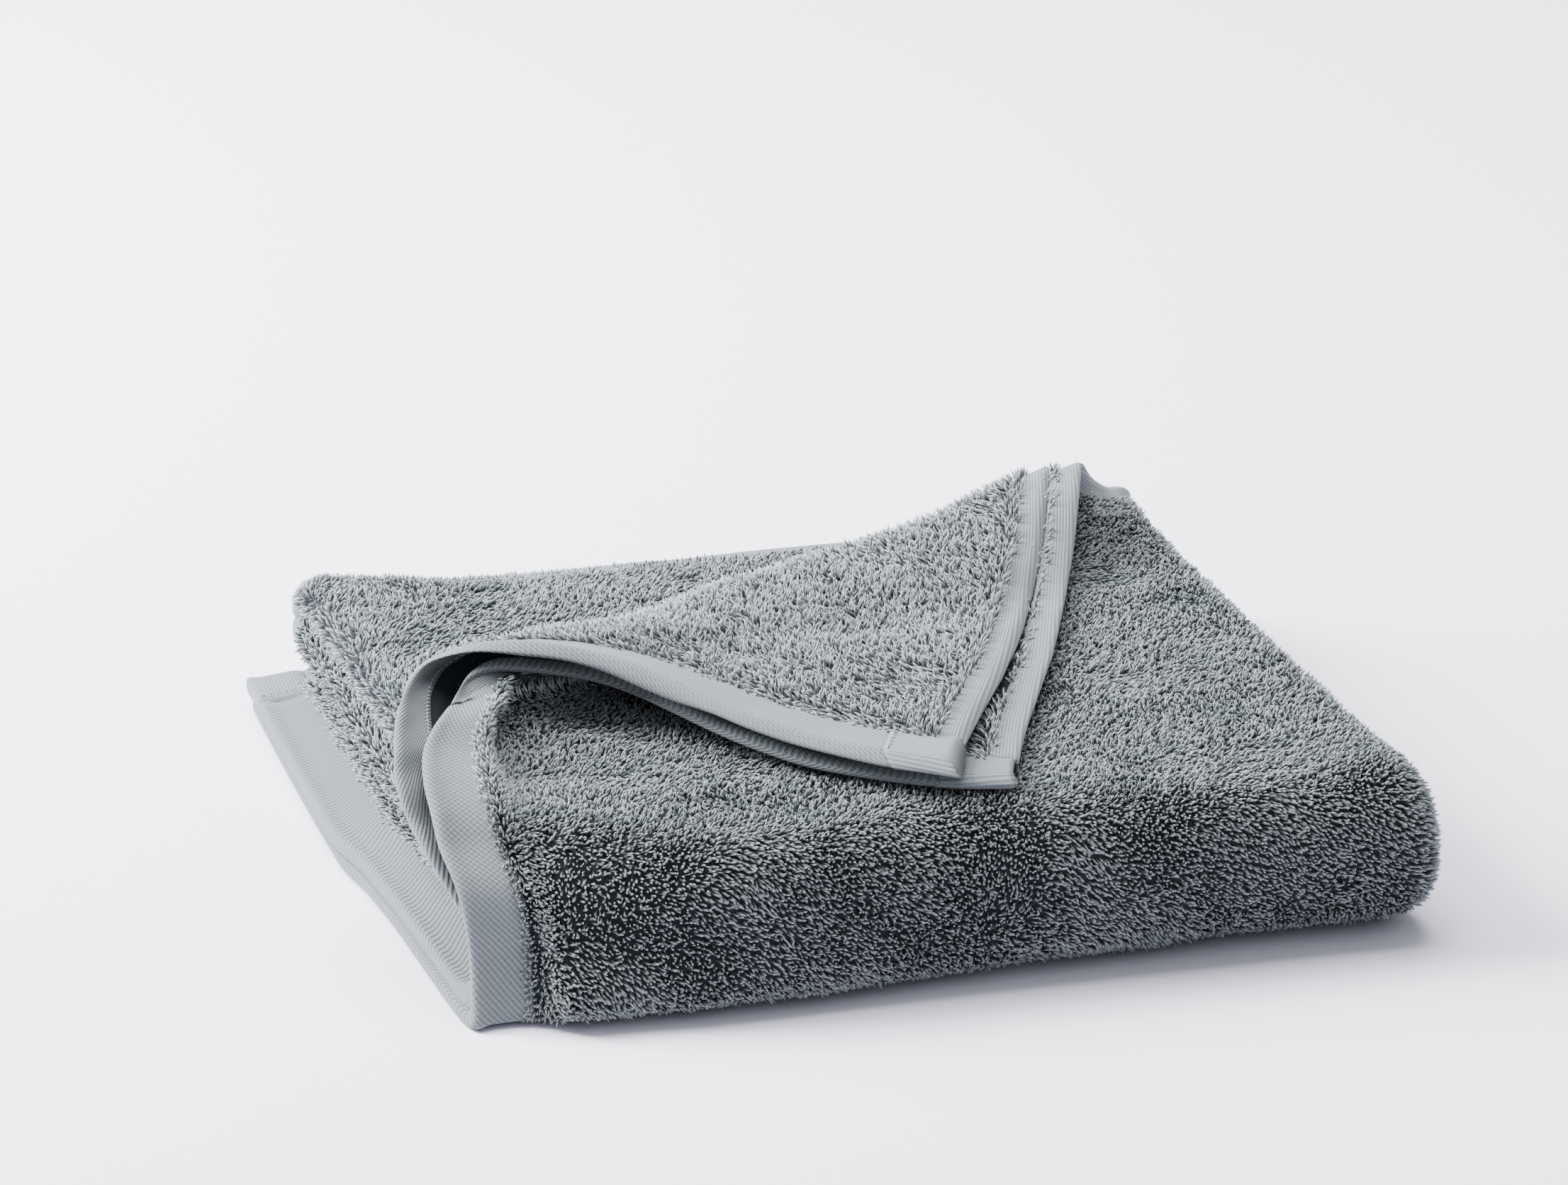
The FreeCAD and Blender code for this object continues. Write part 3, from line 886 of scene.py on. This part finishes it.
# %% Rows and tacks
END_ROW, SIDE_ROW, TACK_ROW = 22.2, 10.9, 2.6  # inset of each kind of row
END_OUT, SIDE_OUT, TACK_OUT = 1.55, 1.35, 2.75  # and how far it is from the middle of the cloth
seams = []
for far, which in ((False, "outer"), (True, "inner")):
    u = np.arange(CORNER + 2, WIDTH - CORNER - 1, STITCH)
    v, u, n = both_sides(np.full(len(u), LENGTH - END_ROW if far else END_ROW), u, END_OUT)
    row = stitches(which + "_end_stitching", v, u, 0, 1, n, 5)
    seams.append((row, f"end_hem_{which}_stitching"))
for far, which in ((False, "under"), (True, "top")):
    v = np.arange(END_HEM + 4, LENGTH - END_HEM - 3, STITCH)
    v, u, n = both_sides(v, np.full(len(v), WIDTH - SIDE_ROW if far else SIDE_ROW), SIDE_OUT)
    row = stitches(which + "_side_stitching", v, u, 1, 0, n, 6)
    seams.append((row, f"side_hem_{which}_stitching"))
for far, which in ((False, "outer"), (True, "inner")):
    inset = np.arange(4.0, 22.0, STITCH)
    v = np.tile(LENGTH - inset if far else inset, 2)
    u = np.repeat([CORNER - TACK_ROW, WIDTH - CORNER + TACK_ROW], len(inset))
    v, u, n = both_sides(v, u, TACK_OUT)
    row = stitches(which + "_corner_tacks", v, u, 1, 0, n, 7)
    seams.append((row, f"end_hem_{which}_stitching"))
for piece, node in seams:
    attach(piece, "root")
    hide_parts(node)
print("stitches", sum(len(piece.data.vertices) for piece, _ in seams) // 10)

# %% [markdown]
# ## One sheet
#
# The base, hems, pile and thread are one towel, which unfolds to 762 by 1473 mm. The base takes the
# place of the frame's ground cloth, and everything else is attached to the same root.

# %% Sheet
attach(base, "root")
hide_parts("ground_cloth")
print("sheet of", 1 + len(hems) + len(pile) + len(seams), "pieces")

# %% [markdown]
# ## Finishes
#
# Everything here is dyed cotton: matt, with a faint sheen from loose fibres. What tells the parts of
# a towel apart is how the yarn was laid; the dark of the ground weave and of the tufts' feet is
# painted shade.
# One function adds a node, one turns an sRGB hex colour to linear, and one makes the matt fibre
# surface that all five cottons share.

# %% Helpers for materials


def add(tree, kind, settings, links):
    """One node: its settings by attribute or input name, and its inputs' links."""
    node = tree.nodes.new("ShaderNode" + kind)
    for key, value in settings.items():
        if isinstance(key, str) and hasattr(node, key):
            setattr(node, key, value)
        else:
            node.inputs[key].default_value = value
    for key, output in links.items():
        tree.links.new(output, node.inputs[key])
    return node


def linear(code):
    """Linear RGBA of an sRGB hex code: c / 12.92 if small, else ((c + 0.055) / 1.055) ^ 2.4."""
    c = np.array([int(code[i:i + 2], 16) for i in (1, 3, 5)]) / 255
    return (*np.where(c <= 0.04045, c / 12.92, ((c + 0.055) / 1.055) ** 2.4).tolist(), 1.0)


def cotton(name, roughness, sheen):
    """A matt fibre surface with a little sheen."""
    material = bpy.data.materials.new(name)
    material.use_nodes = True
    shader = material.node_tree.nodes["Principled BSDF"]
    shader.inputs["Roughness"].default_value = roughness
    shader.inputs["Specular IOR Level"].default_value = 0.15
    shader.inputs["Sheen Weight"].default_value = sheen
    return material, material.node_tree, shader


print("mid grey is", round(linear("#808080")[0], 3), "in linear light")

# %% [markdown]
# ## The two weaves
#
# A weave is two families of threads that cross. A wave texture on the band's own UV, in metres,
# draws each family: the first shows as ribs, and the second breaks the ribs up. A painted image
# would do too, but a wave stays sharp however close one looks. At scale 1 a wave's ribs are
# 2 pi / 20 of a unit apart, so the scale is that over the wanted distance.

# %% Woven materials
MIX_DARK, MIX_LIGHT, MIX_COLOUR = 6, 7, 2  # a Mix node's two colour inputs and its colour output


def woven(name, turns, dark, light, depth):
    """A weave: families of threads at (angle, distance in mm), crossing over and under."""
    material, tree, shader = cotton(name, 0.9, 0.15)
    uv = add(tree, "UVMap", {"uv_map": "weave"}, {})
    waves = []
    for angle, period in turns:
        rotation = (0, 0, math.radians(angle))
        turned = add(tree, "Mapping", {"Rotation": rotation}, {"Vector": uv.outputs[0]})
        waves.append(add(tree, "TexWave", {
            "bands_direction": "X", "Scale": 2 * math.pi / 20 / (period * MM), "Distortion": 0.3,
            "Detail": 1.0, "Detail Scale": 0.15}, {"Vector": turned.outputs[0]}))
    ribs, breaks = (wave.outputs["Fac"] for wave in waves)
    both = add(tree, "Math", {"operation": "MULTIPLY_ADD", 1: 0.3}, {0: breaks, 2: ribs})
    mix = add(tree, "Mix", {"data_type": "RGBA", MIX_DARK: linear(dark), MIX_LIGHT: linear(light)},
              {0: both.outputs[0]})
    tree.links.new(mix.outputs[MIX_COLOUR], shader.inputs["Base Color"])
    bump = add(tree, "Bump", {"Strength": 0.6, "Distance": depth * MM}, {"Height": both.outputs[0]})
    tree.links.new(bump.outputs[0], shader.inputs["Normal"])
    return material


# Cotton twill gives the eye slanting ribs, and a lighter grey than the pile because it has none of
# the painted shade at the tufts' feet. The ribs are drawn 1.8 mm apart, coarser than real ones, so
# that they show.
twill = woven("cotton twill", ((38, 1.8), (-52, 1.8)), "#585E62", "#767D80", 0.45)
# Cotton plain weave gives a fine square grain, nearly flat. Its threads are drawn 1.3 mm apart,
# again coarser than real ones.
plain_weave = woven("cotton plain weave", ((3, 1.3), (92, 1.3)), "#5C6366", "#7B8285", 0.3)

# %% [markdown]
# ## Ground, thread and pile
#
# The ground is hidden at the foot of the pile and the thread is a fine line, so a plain colour on
# the shader is enough for both. The pile takes the colour that each tuft carries.

# %% Plain materials
# Cotton ground weave, painted dark and dull: the shade between the tufts, the only place where it is
# seen, is painted into its colour.
ground, _, shader = cotton("cotton ground weave in painted shade", 0.95, 0.0)
shader.inputs["Base Color"].default_value = linear("#2C3235")
# Sewing thread: tightly spun and the lightest part, so that a row of stitches shows.
thread, _, shader = cotton("sewing thread", 0.7, 0.1)
shader.inputs["Base Color"].default_value = linear("#A4ABAE")
# Combed cotton pile: soft tips that catch the light over dark gaps, which is the plush look; the
# colour that each tuft carries has painted shade at its foot.
yarn_and_shade, tree, shader = cotton("combed cotton pile", 0.92, 0.2)
colour = add(tree, "Attribute", {"attribute_name": "yarn_and_shade"}, {})
tree.links.new(colour.outputs["Color"], shader.inputs["Base Color"])

base.data.materials.append(ground)
for node, piece in hems.items():
    piece.data.materials.append(twill if node.startswith("end") else plain_weave)
for piece in pile:
    piece.data.materials.append(yarn_and_shade)
for piece, _ in seams:
    piece.data.materials.append(thread)
print("materials", [m.name for m in (twill, plain_weave, ground, thread, yarn_and_shade)])

# %% [markdown]
# ## Backdrop
#
# The towel lies on pale, matt studio paper, which takes a soft shadow.

# %% Floor
bpy.ops.mesh.primitive_plane_add(size=20, location=(0, 0, 0))
floor = bpy.context.object
floor.name = "backdrop"
paper = bpy.data.materials.new("backdrop paper")
paper.use_nodes = True
shader = paper.node_tree.nodes["Principled BSDF"]
shader.inputs["Base Color"].default_value = (0.90, 0.89, 1.0, 1.0)
shader.inputs["Roughness"].default_value = 0.95
floor.data.materials.append(paper)
print("backdrop", floor.dimensions.x, "m wide")

# %% [markdown]
# ## Light
#
# A bright, even world fills the shadows, a wide lamp overhead lights the top, and a smaller key lamp
# from the back left shapes the roll and the wave.

# %% Lights
world = bpy.data.worlds.new("studio")
bpy.context.scene.world = world
world.use_nodes = True
sky = world.node_tree.nodes["Background"]
sky.inputs["Color"].default_value = (0.93, 0.93, 1.0, 1)
sky.inputs["Strength"].default_value = 0.60

bpy.ops.object.light_add(type="AREA", location=(0.1, 0.9, 2.7))
top_light = bpy.context.object
top_light.data.energy = 165
top_light.data.size = 2.4
top_light.rotation_euler = (-math.atan2(0.9, 2.7), 0, 0)
bpy.ops.object.light_add(type="AREA", location=(-1.85, 1.35, 1.6))
key = bpy.context.object
key.data.energy = 420
key.data.size = 1.6
key.rotation_euler = Vector((1.85, -1.35, -1.6)).to_track_quat("-Z", "Y").to_euler()
print("lamps", top_light.data.energy, "W and", key.data.energy, "W")

# %% [markdown]
# ## Camera
#
# A long lens from the front left, a little above the towel, keeps its edges nearly parallel. The
# camera is placed by where it looks from: two angles and a distance from its target.

# %% Camera
AZIMUTH, ELEVATION, DISTANCE, LENS = math.radians(15.7), math.radians(18.65), 2496.0, 146.47
TARGET = np.array([178.06, 190.0, 95.84]) + ORIGIN
away = np.array([-math.sin(AZIMUTH) * math.cos(ELEVATION), -math.cos(AZIMUTH) * math.cos(ELEVATION),
                 math.sin(ELEVATION)])
cam_data = bpy.data.cameras.new("camera")
cam = bpy.data.objects.new("camera", cam_data)
bpy.context.collection.objects.link(cam)
cam.location = (TARGET + away * DISTANCE) * MM
cam.rotation_mode = "QUATERNION"
cam.rotation_quaternion = Vector(-away).to_track_quat("-Z", "Y")
cam_data.lens = LENS
cam_data.sensor_width = 36.0
cam_data.clip_end = 50
bpy.context.scene.camera = cam
print("camera at", [round(k, 3) for k in cam.location])
